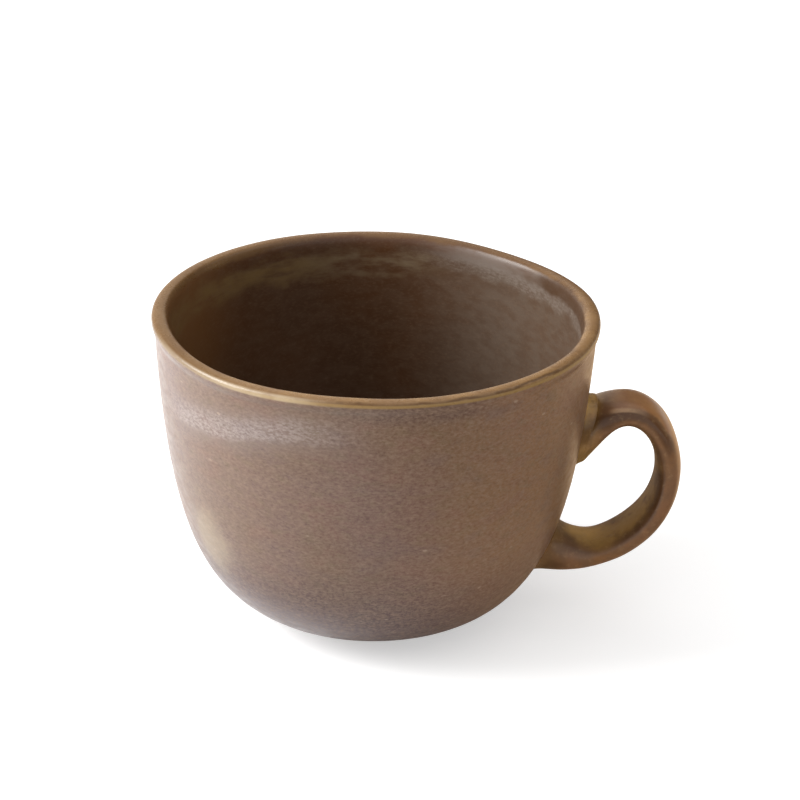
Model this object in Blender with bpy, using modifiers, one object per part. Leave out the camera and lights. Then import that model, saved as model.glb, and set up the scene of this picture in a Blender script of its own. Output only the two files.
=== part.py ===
"""Stoneware latte cup: a turned bowl on a foot ring, with a pulled strap handle luted on by two slip joints.

Metres, +Z up. The origin is on the bowl's axis, in the plane that the foot ring stands on.
The handle points along +X.
"""
import math

import bmesh
import bpy
from mathutils import Vector
from mathutils.geometry import interpolate_bezier

# Bowl
CUP_HEIGHT = 0.0800
LIP_RADIUS = 0.0550
LIP_THICKNESS = 0.0036
LIP_DEPTH = 0.0040          # from the top of the lip down to the plain wall
LIP_OVERHANG = 0.0008       # how far the lip stands out past the wall under it
WALL_LEAN = math.radians(3.0)
WALL_STRAIGHTNESS = 0.0424  # length of the curve handle that keeps the upper wall straight
BELLY_FLATNESS = 0.0243     # length of the curve handle that keeps the underside flat
BELLY_SLOPE = math.radians(3.3)
FLOOR_THICKNESS = 0.0047
FLOOR_DISH = 0.0008         # how far the inside floor dips to its middle

# Foot
FOOT_RADIUS = 0.0228
FOOT_WIDTH = 0.0053
FOOT_HEIGHT = 0.0026        # from the table to the bowl's seat on the ring
FOOT_ROUND = 0.0008
BASE_RECESS = 0.0008        # from the table up to the glazed middle of the base

# Handle
STRAP_WIDTH = 0.0156
STRAP_THICKNESS = 0.0064
STRAP_SQUARENESS = 2.5      # 2 is an ellipse, larger is nearer to a rectangle
HANDLE_STANDOFF = 0.0226    # from the lip's outside to the outside of the strap
HANDLE_MIDDLE_Z = 0.0382    # height at which the strap stands out most
ARCH_RISE = 0.0012          # the arch's top above the upper root
ARCH_RUN = 0.0103           # the arch's top out from the wall
UPPER_ROOT_Z = 0.0541
UPPER_WEB_DROP = 0.0098     # the gusset under the upper root
UPPER_WEB_LENGTH = 0.0105
LOWER_ROOT_Z = 0.0140
LOWER_RUN = 0.0060          # level stretch of the strap beside the wall
LOWER_WEB_DROP = 0.0092
LOWER_WEB_LENGTH = 0.0190
ROOT_SPREAD = 0.0010        # extra strap width at the wall
ROOT_DEPTH = 0.0070         # how far the uncut strap runs on into the wall
UPPER_WEB_CURVE = 2.2       # 1 is a straight gusset, larger is more hollow
LOWER_WEB_CURVE = 1.7
ROOT_EASE = 0.40            # curve handles of the strap's line, as shares of each stretch
ARCH_EASE = 0.56
SHOULDER_EASE = 0.55
HEEL_EASE = 0.62
RETURN_EASE = 0.47

# Joints
UPPER_SLIP_THICKNESS = 0.0022
LOWER_SLIP_THICKNESS = 0.0008
SLIP_INSET = 0.0007         # how far a slip joint stays inside the strap's outline
JOINT_GAP = 0.0003

# Resolution
TURN_STEPS = 64
WALL_POINTS = 15
LIP_POINTS = 7
ROUND_POINTS = 4
FLOOR_POINTS = 3
STRAP_SIDES = 20
ROOT_POINTS = 5
ARCH_POINTS = 9
DROP_POINTS = 15


def new_collection(name):
    collection = bpy.data.collections.new(name)
    bpy.context.scene.collection.children.link(collection)
    return collection


def fired_finish(name, colour, roughness):
    material = bpy.data.materials.new(name)
    material.use_nodes = True
    shader = material.node_tree.nodes["Principled BSDF"]
    shader.inputs["Base Color"].default_value = (*colour, 1.0)
    shader.inputs["Roughness"].default_value = roughness
    shader.inputs["Metallic"].default_value = 0.0
    return material


def add_object(name, mesh, collection, material=None):
    piece = bpy.data.objects.new(name, mesh)
    collection.objects.link(piece)
    if material:
        mesh.materials.append(material)
    else:
        piece.hide_render = True
        piece.display_type = "WIRE"
    return piece


def turned(name, profile, collection, material=None, closed=False):
    """Turns a profile of (radius, height) points about Z."""
    mesh = bpy.data.meshes.new(name)
    form = bmesh.new()
    points = [form.verts.new((radius, 0.0, height)) for radius, height in profile]
    for first, second in zip(points, points[1:]):
        form.edges.new((first, second))
    if closed:
        form.edges.new((points[-1], points[0]))
    form.to_mesh(mesh)
    form.free()
    piece = add_object(name, mesh, collection, material)
    screw = piece.modifiers.new("turn", "SCREW")
    screw.axis = "Z"
    screw.steps = TURN_STEPS
    screw.render_steps = TURN_STEPS
    screw.use_merge_vertices = True
    screw.merge_threshold = 0.00001
    return piece


def boolean(piece, operation, cutter):
    modifier = piece.modifiers.new(cutter.name, "BOOLEAN")
    modifier.operation = operation
    modifier.solver = "EXACT"
    modifier.object = cutter


def wall_curve():
    """The outside of the bowl from under the lip to the foot, as the four points of one Bezier curve."""
    top = Vector((LIP_RADIUS - LIP_OVERHANG, CUP_HEIGHT - LIP_DEPTH))
    foot = Vector((FOOT_RADIUS, FOOT_HEIGHT))
    top_handle = top - WALL_STRAIGHTNESS * Vector((math.sin(WALL_LEAN), math.cos(WALL_LEAN)))
    foot_handle = foot + BELLY_FLATNESS * Vector((math.cos(BELLY_SLOPE), math.sin(BELLY_SLOPE)))
    return top, top_handle, foot_handle, foot


def wall_points(offset_at):
    """Points down the bowl's wall, each moved along its normal by offset_at(share of the way down)."""
    line = interpolate_bezier(*wall_curve(), WALL_POINTS)
    points = []
    for index, point in enumerate(line):
        before = line[max(index - 1, 0)]
        after = line[min(index + 1, WALL_POINTS - 1)]
        along = (after - before).normalized()
        outward = Vector((-along.y, along.x))
        points.append(point + offset_at(index / (WALL_POINTS - 1)) * outward)
    return points


def wall_radius(height):
    """The bowl's outside radius at a height, read between the wall's points."""
    points = wall_points(lambda share: 0.0)
    for upper, lower in zip(points, points[1:]):
        if lower.y <= height <= upper.y:
            return lower.x + (upper.x - lower.x) * (height - lower.y) / (upper.y - lower.y)
    return points[0].x


def arc(centre, radius, start, end, count):
    angles = [start + (end - start) * index / (count - 1) for index in range(count)]
    return [centre + radius * Vector((math.cos(angle), math.sin(angle))) for angle in angles]


def bowl(collection):
    def inset(share):
        return -(LIP_THICKNESS + (FLOOR_THICKNESS - LIP_THICKNESS) * share)

    inside = wall_points(inset)
    outside = wall_points(lambda share: 0.0)
    lip_half = LIP_THICKNESS / 2
    lip_centre = Vector((LIP_RADIUS - lip_half, CUP_HEIGHT - lip_half))
    lip = arc(lip_centre, lip_half, math.pi, 0.0, LIP_POINTS)
    spigot_radius = FOOT_RADIUS - FOOT_WIDTH - JOINT_GAP
    floor_edge = inside[-1]
    floor = []
    for index in range(FLOOR_POINTS):
        share = index / FLOOR_POINTS
        floor.append(Vector((floor_edge.x * share, floor_edge.y - FLOOR_DISH * (1.0 - share * share))))
    base = [(spigot_radius, FOOT_HEIGHT), (spigot_radius, BASE_RECESS), (0.0, BASE_RECESS)]
    profile = [*floor, *reversed(inside), *lip, *outside, *base]
    glaze = fired_finish("bowl glaze", (0.19, 0.12, 0.09), 0.35)
    return turned("bowl", profile, collection, glaze)


def foot_ring(collection):
    outer = FOOT_RADIUS
    inner = FOOT_RADIUS - FOOT_WIDTH
    top = FOOT_HEIGHT - JOINT_GAP
    outer_centre = Vector((outer - FOOT_ROUND, FOOT_ROUND))
    inner_centre = Vector((inner + FOOT_ROUND, FOOT_ROUND))
    profile = [
        (inner, top),
        (outer, top),
        *arc(outer_centre, FOOT_ROUND, 0.0, -math.pi / 2, ROUND_POINTS),
        *arc(inner_centre, FOOT_ROUND, -math.pi / 2, -math.pi, ROUND_POINTS),
    ]
    clay = fired_finish("bare clay", (0.36, 0.24, 0.15), 0.8)
    return turned("foot_ring", profile, collection, clay, closed=True)


def strap_line():
    """The strap's centre line as (out, up) points, from inside the wall, round the finger gap and back."""
    upper_wall = Vector((wall_radius(UPPER_ROOT_Z), UPPER_ROOT_Z))
    lower_wall = Vector((wall_radius(LOWER_ROOT_Z), LOWER_ROOT_Z))
    arch = Vector((upper_wall.x + ARCH_RUN, UPPER_ROOT_Z + ARCH_RISE))
    outermost = Vector((LIP_RADIUS + HANDLE_STANDOFF - STRAP_THICKNESS / 2, HANDLE_MIDDLE_Z))
    level = lower_wall + Vector((LOWER_RUN, 0.0))
    spread = outermost.x - arch.x
    fall = outermost.y - LOWER_ROOT_Z
    rise = arch.y - outermost.y
    return_run = outermost.x - level.x
    out = Vector((1.0, 0.0))
    up = Vector((0.0, 1.0))
    root_ease = ROOT_EASE * ARCH_RUN * out
    arch_ease = ARCH_EASE * spread * out
    shoulder_ease = SHOULDER_EASE * rise * up
    heel_ease = HEEL_EASE * fall * up
    return_ease = RETURN_EASE * return_run * out
    root = interpolate_bezier(upper_wall, upper_wall + root_ease, arch - root_ease, arch, ROOT_POINTS)
    over = interpolate_bezier(arch, arch + arch_ease, outermost + shoulder_ease, outermost, ARCH_POINTS)
    down = interpolate_bezier(outermost, outermost - heel_ease, level + return_ease, level, DROP_POINTS)
    start = upper_wall - ROOT_DEPTH * out
    end = lower_wall - ROOT_DEPTH * out
    return [start, *root, *over[1:], *down[1:], lower_wall, end]


def web_depth(run, drop, length, curve):
    """How much a gusset thickens the strap, at a run out along the strap from the wall."""
    return drop * max(1.0 - run / length, 0.0) ** curve


def strap_sections():
    """For each point of the strap: centre, normal away from the gap, half thickness and half width."""
    line = strap_line()
    runs = [0.0]
    for before, after in zip(line, line[1:]):
        runs.append(runs[-1] + (after - before).length)
    sections = []
    for index, point in enumerate(line):
        before = line[max(index - 1, 0)]
        after = line[min(index + 1, len(line) - 1)]
        along = (after - before).normalized()
        outward = Vector((-along.y, along.x))
        from_upper = max(runs[index] - ROOT_DEPTH, 0.0)
        from_lower = max(runs[-1] - ROOT_DEPTH - runs[index], 0.0)
        upper_web = web_depth(from_upper, UPPER_WEB_DROP, UPPER_WEB_LENGTH, UPPER_WEB_CURVE)
        lower_web = web_depth(from_lower, LOWER_WEB_DROP, LOWER_WEB_LENGTH, LOWER_WEB_CURVE)
        web = upper_web + lower_web
        spread = ROOT_SPREAD * (upper_web / UPPER_WEB_DROP + lower_web / LOWER_WEB_DROP)
        centre = point - web / 2 * outward
        sections.append((centre, outward, (STRAP_THICKNESS + web) / 2, (STRAP_WIDTH + spread) / 2))
    return sections


def rounded(value):
    return math.copysign(abs(value) ** (2.0 / STRAP_SQUARENESS), value)


def strap(name, inset, collection, material):
    """Lofts rounded strap sections into one closed body."""
    mesh = bpy.data.meshes.new(name)
    form = bmesh.new()
    rings = []
    for centre, outward, half_thickness, half_width in strap_sections():
        ring = []
        for side in range(STRAP_SIDES):
            angle = 2.0 * math.pi * side / STRAP_SIDES
            across = (half_width - inset) * rounded(math.cos(angle))
            place = centre + (half_thickness - inset) * rounded(math.sin(angle)) * outward
            ring.append(form.verts.new((place.x, across, place.y)))
        rings.append(ring)
    for ring, following in zip(rings, rings[1:]):
        for side in range(STRAP_SIDES):
            after = (side + 1) % STRAP_SIDES
            form.faces.new((ring[side], ring[after], following[after], following[side]))
    form.faces.new(reversed(rings[0]))
    form.faces.new(rings[-1])
    bmesh.ops.recalc_face_normals(form, faces=form.faces)
    form.to_mesh(mesh)
    form.free()
    return add_object(name, mesh, collection, material)


def wall_side(offset, upper):
    """The bowl's outside grown by an offset, from the top down, above or below the middle of the finger gap."""
    middle = (UPPER_ROOT_Z + LOWER_ROOT_Z) / 2
    side = wall_points(lambda share: offset)
    kept = [point for point in side if (point.y > middle) == upper]
    edge = Vector((wall_radius(middle) + offset, middle))
    return [*kept, edge] if upper else [edge, *kept]


def wall_body(name, offset, upper, collection):
    """A full body inside the grown wall."""
    side = wall_side(offset, upper)
    return turned(name, [(0.0, side[0].y), *side, (0.0, side[-1].y)], collection)


def wall_layer(name, inner, outer, upper, collection):
    """An even layer on the wall, between two offsets from it."""
    profile = [*wall_side(outer, upper), *reversed(wall_side(inner, upper))]
    return turned(name, profile, collection, closed=True)


def handle(collection, cutters):
    glaze = fired_finish("handle glaze", (0.18, 0.10, 0.06), 0.3)
    piece = strap("handle", 0.0, collection, glaze)
    upper_offset = UPPER_SLIP_THICKNESS + 2 * JOINT_GAP
    lower_offset = LOWER_SLIP_THICKNESS + 2 * JOINT_GAP
    boolean(piece, "DIFFERENCE", wall_body("upper_root_cutter", upper_offset, True, cutters))
    boolean(piece, "DIFFERENCE", wall_body("lower_root_cutter", lower_offset, False, cutters))
    return piece


def slip_joint(name, thickness, upper, collection, cutters):
    """A layer of joining slip that follows the wall, a little smaller than the strap's outline."""
    glaze = fired_finish(name.replace("_", " ") + " glaze", (0.20, 0.115, 0.04), 0.3)
    piece = strap(name, SLIP_INSET, collection, glaze)
    layer = wall_layer(name + "_layer", JOINT_GAP, JOINT_GAP + thickness, upper, cutters)
    boolean(piece, "INTERSECT", layer)
    return piece


def build():
    for item in list(bpy.data.objects):
        bpy.data.objects.remove(item, do_unlink=True)
    parts = new_collection("latte_cup")
    cutters = new_collection("cutters")
    cup = bpy.data.objects.new("cup_axis", None)
    parts.objects.link(cup)
    pieces = [
        bowl(parts),
        foot_ring(parts),
        handle(parts, cutters),
        slip_joint("upper_joining_slip", UPPER_SLIP_THICKNESS, True, parts, cutters),
        slip_joint("lower_joining_slip", LOWER_SLIP_THICKNESS, False, parts, cutters),
    ]
    for piece in pieces:
        piece.parent = cup


build()
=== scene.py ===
# %% [markdown]
# # A stoneware latte cup
# The cup was thrown on a potter's wheel, given a pulled strap handle, and dipped in a satin glaze that
# breaks to golden tan wherever it runs thin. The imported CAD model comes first, because it fixes the cup's
# size and place: every piece below is drawn over its own CAD node. The CAD box is kept, to compare with the
# finished model.

import math
from functools import partial

import bmesh
import bpy
from mathutils import Matrix, Vector
from mathutils.geometry import interpolate_bezier
from mathutils.kdtree import KDTree


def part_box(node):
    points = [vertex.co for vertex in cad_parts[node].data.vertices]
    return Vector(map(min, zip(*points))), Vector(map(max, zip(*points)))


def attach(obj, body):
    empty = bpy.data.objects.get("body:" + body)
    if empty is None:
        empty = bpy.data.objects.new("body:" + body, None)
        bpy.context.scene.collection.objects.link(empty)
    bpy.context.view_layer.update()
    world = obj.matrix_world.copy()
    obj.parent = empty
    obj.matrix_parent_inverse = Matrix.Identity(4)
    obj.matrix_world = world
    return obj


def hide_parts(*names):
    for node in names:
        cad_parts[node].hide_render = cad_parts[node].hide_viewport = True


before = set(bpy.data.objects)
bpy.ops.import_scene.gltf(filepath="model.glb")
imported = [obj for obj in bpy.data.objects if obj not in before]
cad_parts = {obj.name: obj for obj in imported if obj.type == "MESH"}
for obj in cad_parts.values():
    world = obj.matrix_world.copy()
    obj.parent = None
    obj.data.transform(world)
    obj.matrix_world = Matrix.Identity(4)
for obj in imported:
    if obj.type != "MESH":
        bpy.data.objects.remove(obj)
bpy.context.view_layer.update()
MM = 0.001

# %% [markdown]
# ## The camera
# The photograph was taken with a long lens, from a little above and straight in front, with the handle to
# the right and the camera turned by a degree or so. The rim's ellipse gives the height of the view, and the
# way the cup narrows to its foot gives the distance. A roll about the line of sight needs the two turns in
# this order, so the camera gets its place as one matrix.

# %% Camera
CAMERA_AIM = Vector((6.37, 0.0, 55.63)) * MM
CAMERA_DISTANCE = 600 * MM
CAMERA_ELEVATION = math.radians(24.8)
CAMERA_ROLL = math.radians(1.41)
SENSOR_WIDTH = 36.0     # in mm, as the focal length
FOCAL_LENGTH = 108.1

bpy.ops.object.select_all(action="DESELECT")
bpy.ops.object.camera_add()
camera = bpy.context.object
camera.name = "camera"
camera.data.sensor_width = SENSOR_WIDTH
camera.data.lens = FOCAL_LENGTH
camera.data.dof.use_dof = False
tilt = Matrix.Rotation(math.pi / 2 - CAMERA_ELEVATION, 4, "X")
roll = Matrix.Rotation(CAMERA_ROLL, 4, "Z")
step_back = Matrix.Translation((0.0, 0.0, CAMERA_DISTANCE))
camera.matrix_world = Matrix.Translation(CAMERA_AIM) @ tilt @ roll @ step_back
bpy.context.scene.camera = camera
print("camera at", [round(value, 3) for value in camera.matrix_world.translation])

# %% [markdown]
# ## Sizes of the cup
# The overall sizes are read from the CAD boxes. The wall is one Bezier curve from under the lip to the
# foot, the same as in the CAD model, so that the drawn bowl lies on its solid. Pieces that touch the wall
# ask it for its radius and for their distance from it.

# %% Sizes and the wall's curve
bowl_low, bowl_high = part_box("bowl")
foot_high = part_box("foot_ring")[1]
handle_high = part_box("handle")[1]
CUP_HEIGHT = bowl_high.z
LIP_RADIUS = bowl_high.y
LIP_DEPTH = 4.0 * MM
LIP_OVERHANG = 0.8 * MM
LIP_THICKNESS = 3.6 * MM
WALL_LEAN = math.radians(3.0)
WALL_STRAIGHTNESS = 42.4 * MM
WALL_POINTS = 120
BELLY_FLATNESS = 24.3 * MM
BELLY_SLOPE = math.radians(3.3)
FLOOR_THICKNESS = 4.7 * MM
FLOOR_DISH = 0.8 * MM
FOOT_RADIUS = foot_high.y
FOOT_HEIGHT = 2.6 * MM
FOOT_WIDTH = 5.3 * MM
FOOT_GAP = 0.3 * MM           # clearance between bowl and foot ring, as in the solids
BASE_RECESS = bowl_low.z


def wall_line(count):
    """Points down the outside of the wall, as (radius, height)."""
    top = Vector((LIP_RADIUS - LIP_OVERHANG, CUP_HEIGHT - LIP_DEPTH))
    foot = Vector((FOOT_RADIUS, FOOT_HEIGHT))
    top_handle = top - WALL_STRAIGHTNESS * Vector((math.sin(WALL_LEAN), math.cos(WALL_LEAN)))
    foot_handle = foot + BELLY_FLATNESS * Vector((math.cos(BELLY_SLOPE), math.sin(BELLY_SLOPE)))
    return interpolate_bezier(top, top_handle, foot_handle, foot, count)


WALL = wall_line(WALL_POINTS)


def wall_radius(height):
    for upper, lower in zip(WALL, WALL[1:]):
        if lower.y <= height <= upper.y:
            return lower.x + (upper.x - lower.x) * (height - lower.y) / (upper.y - lower.y)
    return WALL[0].x if height > WALL[0].y else WALL[-1].x


def wall_distance(point):
    """How far a point (out, up) is from the wall, below zero inside it."""
    nearest = min((point - place).length for place in WALL)
    return nearest if point.x > wall_radius(point.y) else -nearest


print("wall radius at half height:", round(wall_radius(CUP_HEIGHT / 2) / MM, 1), "mm")

# %% [markdown]
# ## The bowl
# A potter pulls the wall up from a lump of clay as it turns, and the fingers leave faint rings. The same is
# done here: one vertex is extruded along half of the bowl's section, and the line is spun about the axis.
# The rings are small waves in that line. The lip is three Bezier curves: up the inside, over the top and
# round the outer edge.

# %% Half of the bowl's section
RING_HEIGHT = 0.014 * MM              # finger rings, outside and inside
RING_PITCHES = (3.1 * MM, 5.3 * MM)
RING_SHARES = (0.6, 0.4)
RING_FADE = 8 * MM                    # at both ends of the wall
FLOOR_POINTS = 12
RISE_EASES = (3.4 * MM, 1.8 * MM)     # curve handles at the start and end of the lip's three curves
OVER_EASES = (1.4 * MM, 0.9 * MM)
UNDER_EASES = (1.2 * MM, 0.9 * MM)
RISE_POINTS = 20
OVER_POINTS = 24
UNDER_POINTS = 12
lip_top = Vector((LIP_RADIUS - 1.9 * MM, CUP_HEIGHT))         # highest line of the lip
lip_edge = Vector((LIP_RADIUS, CUP_HEIGHT - 1.3 * MM))        # widest line of the lip


def moved_along_normal(line, offset_at):
    """A copy of a line of points, each moved to the left of its way by offset_at(length along the line)."""
    moved = []
    length = 0.0
    for index, point in enumerate(line):
        before = line[max(index - 1, 0)]
        after = line[min(index + 1, len(line) - 1)]
        along = (after - before).normalized()
        if index:
            length += (point - line[index - 1]).length
        moved.append(point + offset_at(length) * Vector((-along.y, along.x)))
    return moved


def finger_rings(length, total):
    """The wheel's uneven rings, which fade out at both ends of the wall."""
    fade = min(1.0, length / RING_FADE, (total - length) / RING_FADE)
    waves = [math.sin(2.0 * math.pi * length / pitch) for pitch in RING_PITCHES]
    return RING_HEIGHT * fade * sum(share * wave for share, wave in zip(RING_SHARES, waves))


def bowl_section():
    """Half of the bowl's section, from the inside floor over the lip to the base, and the lip's index."""
    total = sum((b - a).length for a, b in zip(WALL, WALL[1:]))
    outside = moved_along_normal(WALL, lambda length: finger_rings(length, total))

    def inside_offset(length):
        thickness = LIP_THICKNESS + (FLOOR_THICKNESS - LIP_THICKNESS) * length / total
        return -thickness + finger_rings(length, total)

    inside = moved_along_normal(WALL, inside_offset)[::-1]
    dish = []
    for index in range(FLOOR_POINTS):
        share = index / FLOOR_POINTS
        dish.append(Vector((inside[0].x * share, inside[0].y - FLOOR_DISH * (1.0 - share * share))))
    along_wall = Vector((math.sin(WALL_LEAN), math.cos(WALL_LEAN)))
    out = Vector((1.0, 0.0))
    up = Vector((0.0, 1.0))
    rise_handles = (inside[-1] + RISE_EASES[0] * along_wall, lip_top - RISE_EASES[1] * out)
    over_handles = (lip_top + OVER_EASES[0] * out, lip_edge + OVER_EASES[1] * up)
    under_handles = (lip_edge - UNDER_EASES[0] * up, outside[0] + UNDER_EASES[1] * along_wall)
    rise = interpolate_bezier(inside[-1], *rise_handles, lip_top, RISE_POINTS)
    over = interpolate_bezier(lip_top, *over_handles, lip_edge, OVER_POINTS)
    under = interpolate_bezier(lip_edge, *under_handles, outside[0], UNDER_POINTS)
    spigot = FOOT_RADIUS - FOOT_WIDTH - FOOT_GAP
    base = [Vector((spigot, FOOT_HEIGHT)), Vector((spigot, BASE_RECESS)), Vector((0.0, BASE_RECESS))]
    section = dish + inside + rise[1:] + over[1:] + under[1:] + outside[1:] + base
    return section, len(dish) + len(inside) + len(rise) - 2


SECTION, LIP_INDEX = bowl_section()
print("the section has", len(SECTION), "points, its top at", [round(v / MM, 2) for v in SECTION[LIP_INDEX]])

# %% Throw the bowl
SEED = 1.0 * MM                  # size of a primitive that is reshaped at once
MERGE_DISTANCE = 0.001 * MM
THROWN_CREASE = math.radians(50)
BOWL_STEPS = 224                 # faces round the axis


def new_piece(name):
    """Deselects everything, adds a small plane at the origin, names it and goes into edit mode."""
    bpy.ops.object.select_all(action="DESELECT")
    bpy.ops.mesh.primitive_plane_add(size=SEED)
    piece = bpy.context.object
    piece.name = name
    piece.data.name = name
    bpy.ops.object.mode_set(mode="EDIT")
    return piece


def close_up():
    """Merges doubles, turns the faces outwards and leaves edit mode."""
    bpy.ops.mesh.select_all(action="SELECT")
    bpy.ops.mesh.remove_doubles(threshold=MERGE_DISTANCE)
    bpy.ops.mesh.normals_make_consistent(inside=False)
    bpy.ops.object.mode_set(mode="OBJECT")
    bpy.ops.object.shade_smooth_by_angle(angle=THROWN_CREASE)


def throw(name, section, steps):
    """Draws a section by extruding one vertex from point to point, and spins it about the cup's axis."""
    piece = new_piece(name)
    bpy.ops.mesh.merge(type="CENTER")
    bpy.ops.transform.translate(value=(section[0].x, 0.0, section[0].y))
    for before, after in zip(section, section[1:]):
        step = after - before
        bpy.ops.mesh.extrude_region_move(TRANSFORM_OT_translate={"value": (step.x, 0.0, step.y)})
    bpy.ops.mesh.select_all(action="SELECT")
    bpy.ops.mesh.spin(steps=steps, angle=2.0 * math.pi, center=(0.0, 0.0, 0.0), axis=(0.0, 0.0, 1.0))
    close_up()
    return piece


bowl = throw("thrown_bowl", SECTION, BOWL_STEPS)
print("bowl:", len(bowl.data.polygons), "faces")

# %% [markdown]
# The glaze changes with the way down from the lip, inside and out: tan on the edge, a pale band under it,
# plain brown below. So each vertex keeps its length along the section from the lip's top, in millimetres,
# above zero outside and below zero inside. Then the bowl gets the slight waver of a hand-thrown pot, from a
# Displace modifier with a soft cloud 30 mm across.

# %% Length from the lip, and the waver
WAVER = 0.3 * MM
WAVER_SIZE = 30 * MM


def mark_from_lip(piece, section, lip_index):
    lengths = [0.0]
    for before, after in zip(section, section[1:]):
        lengths.append(lengths[-1] + (after - before).length)
    tree = KDTree(len(section))
    for index, point in enumerate(section):
        tree.insert((point.x, point.y, 0.0), index)
    tree.balance()
    values = []
    for vertex in piece.data.vertices:
        index = tree.find((vertex.co.xy.length, vertex.co.z, 0.0))[1]
        values.append((lengths[index] - lengths[lip_index]) / MM)
    attribute = piece.data.attributes.new("from_lip", "FLOAT", "POINT")
    attribute.data.foreach_set("value", values)
    return min(values), max(values)


def waver(piece, strength, size):
    cloud = bpy.data.textures.new(piece.name + "_waver", "CLOUDS")
    cloud.noise_scale = size
    cloud.noise_depth = 0
    modifier = piece.modifiers.new("waver", "DISPLACE")
    modifier.texture = cloud
    modifier.texture_coords = "LOCAL"
    modifier.strength = strength
    modifier.mid_level = 0.5
    bpy.ops.object.modifier_apply(modifier=modifier.name)


print("length from the lip, in mm:", [round(value, 1) for value in mark_from_lip(bowl, SECTION, LIP_INDEX)])
waver(bowl, WAVER, WAVER_SIZE)

# %% [markdown]
# The rim isn't quite level either: it dips by almost a millimetre at the left in front and at the right
# behind, as a pot does when it is lifted off the wheel with two hands. A translation with proportional
# editing pulls one point of the lip down, and takes the clay around it along.

# %% Dips of the rim
RIM_DIP = 0.8 * MM
DIP_REACH = 36 * MM
DIP_AZIMUTHS = (-130, 48)     # degrees round the axis, from the handle


def press_rim(piece, azimuth):
    """Pulls the lip down at an angle round the axis, and gives its new height in mm."""
    angle = math.radians(azimuth)
    place = Vector((math.cos(angle), math.sin(angle), 0.0)) * lip_top.x
    place.z = lip_top.y
    bpy.ops.object.mode_set(mode="EDIT")
    bpy.ops.mesh.select_all(action="DESELECT")
    mesh = bmesh.from_edit_mesh(piece.data)
    nearest = min(mesh.verts, key=lambda vertex: (vertex.co - place).length)
    nearest.select_set(True)
    bmesh.update_edit_mesh(piece.data)
    bpy.ops.transform.translate(value=(0.0, 0.0, -RIM_DIP), use_proportional_edit=True,
                                proportional_edit_falloff="SMOOTH", proportional_size=DIP_REACH)
    bpy.ops.object.mode_set(mode="OBJECT")
    pressed = min(piece.data.vertices, key=lambda vertex: (vertex.co.xy - place.xy).length)
    return round(pressed.co.z / MM, 2)


print("the rim's height at the two dips, in mm:", [press_rim(bowl, azimuth) for azimuth in DIP_AZIMUTHS])

# %% [markdown]
# ## The foot ring
# The bowl stands on a turned ring of bare clay, which stays unglazed so that it doesn't stick to the kiln
# shelf. It is thrown the same way, with its edges softened by a Bevel modifier, as a sponge softens wet
# clay.

# %% Foot ring
FOOT_STEPS = 160
FOOT_OUTER_DRAFT = 0.1 * MM     # how much the ring narrows towards the table, outside and inside
FOOT_INNER_DRAFT = 0.4 * MM
SPONGED_WIDTH = 0.6 * MM
SPONGED_ANGLE = math.radians(40)

ring_top = FOOT_HEIGHT - FOOT_GAP
ring_section = [
    Vector((FOOT_RADIUS - FOOT_WIDTH, ring_top)),
    Vector((FOOT_RADIUS, ring_top)),
    Vector((FOOT_RADIUS - FOOT_OUTER_DRAFT, 0.0)),
    Vector((FOOT_RADIUS - FOOT_WIDTH + FOOT_INNER_DRAFT, 0.0)),
    Vector((FOOT_RADIUS - FOOT_WIDTH, ring_top)),
]
foot = throw("foot_clay", ring_section, FOOT_STEPS)
softened = foot.modifiers.new("sponged_edges", "BEVEL")
softened.width = SPONGED_WIDTH
softened.segments = 4
softened.limit_method = "ANGLE"
softened.angle_limit = SPONGED_ANGLE
bpy.ops.object.modifier_apply(modifier=softened.name)
print("foot ring:", len(foot.data.polygons), "faces")

# %% [markdown]
# ## The handle's line
# The handle is a strap of clay, wider than it is thick, that leaves the wall level, turns over a short
# arch, comes round the finger and goes back into the wall low down. Both ends grow a gusset on the side of
# the finger. Its edges are kept as two rails, one outside and one on the finger's side, and every section
# is hung between them.

# %% Rails of the strap
STRAP_WIDTH = 15.6 * MM
STRAP_THICKNESS = 6.4 * MM
ROOT_SPREAD = 1.0 * MM
ROOT_DEPTH = 7.0 * MM
UPPER_ROOT_Z = 54.1 * MM
LOWER_ROOT_Z = 14.0 * MM
ARCH_RISE = 1.2 * MM
ARCH_RUN = 10.3 * MM
HANDLE_MIDDLE_Z = 38.2 * MM
LOWER_RUN = 6.0 * MM
ROOT_EASE = 0.40            # curve handles of the strap's line, as shares of each stretch
ARCH_EASE = 0.56
SHOULDER_EASE = 0.55
HEEL_EASE = 0.62
RETURN_EASE = 0.47
STRETCH_POINTS = (25, 25, 40, 60, 40)
UPPER_WEB = (9.8 * MM, 10.5 * MM, 2.2)     # depth at the wall, length along the strap, and how hollow it is
LOWER_WEB = (9.2 * MM, 19.0 * MM, 1.7)


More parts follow.
